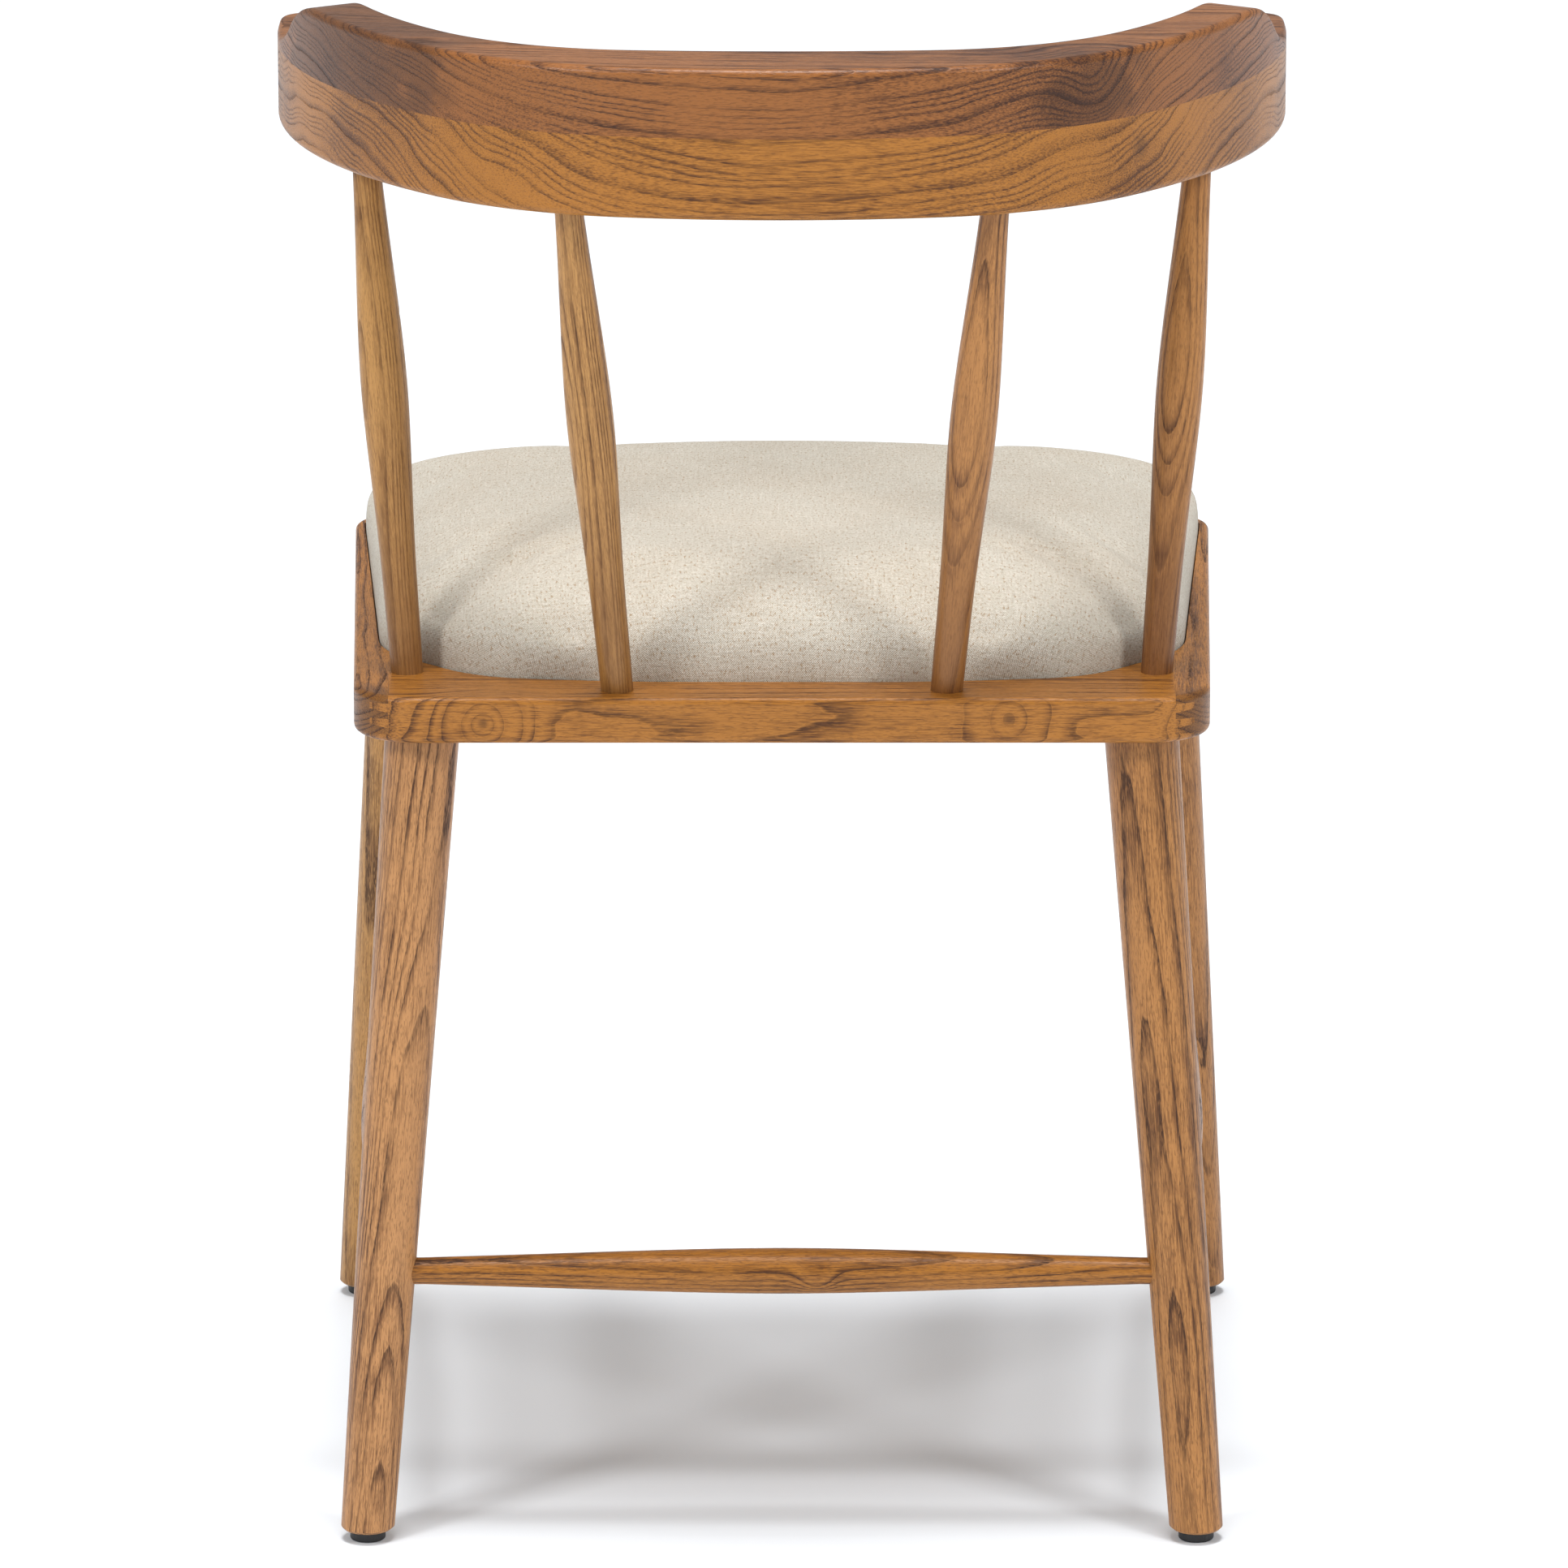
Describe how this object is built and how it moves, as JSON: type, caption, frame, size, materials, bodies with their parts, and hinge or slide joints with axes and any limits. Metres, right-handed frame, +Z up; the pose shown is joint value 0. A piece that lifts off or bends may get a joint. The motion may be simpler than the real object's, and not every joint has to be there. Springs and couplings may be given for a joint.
{
  "type": "armchair",
  "caption": "Wooden armchair with a horseshoe bow back on turned spindles, rounded seat frame, splayed legs tied by stretchers, and an upholstered drop-in seat.",
  "frame": {"origin": "on the floor, at the centre of the bounding box's underside", "axes": "+Z up; the chair faces -Y, so +Y points out of its back and +X is the sitter's left"},
  "size_m": [0.537, 0.5121, 0.8046],
  "materials": {
    "wood_honey": "open-pored, satin, honey brown",
    "wood_russet": "open-pored, satin, redder brown",
    "wood_block": "raw wood",
    "plywood": "raw plywood",
    "linen": "undyed plain weave with darker flecks",
    "glide_black": "matte",
    "screw_steel": "zinc plated"
  },
  "bodies": {
    "root": {"bow_lower": "wood_honey", "rail_rear": "wood_honey", "rail_front": "wood_honey", "rail_side_left": "wood_honey", "rail_side_right": "wood_honey", "leg_rear_left": "wood_honey", "leg_rear_right": "wood_honey", "leg_front_left": "wood_honey", "leg_front_right": "wood_honey", "stretcher_rear": "wood_honey", "stretcher_side_left": "wood_honey", "stretcher_side_right": "wood_honey", "spindle_inner_left": "wood_honey", "spindle_inner_right": "wood_honey", "spindle_outer_left": "wood_honey", "spindle_outer_right": "wood_honey", "bow_upper": "wood_russet", "corner_block_rear_left": "wood_block", "corner_block_rear_right": "wood_block", "corner_block_front_left": "wood_block", "corner_block_front_right": "wood_block", "glide_rear_left": "glide_black", "glide_rear_right": "glide_black", "glide_front_left": "glide_black", "glide_front_right": "glide_black", "seat_panel": "plywood", "seat_cushion": "linen", "screws_corner_blocks": "screw_steel", "screws_seat": "screw_steel"}
  },
  "joints": []
}
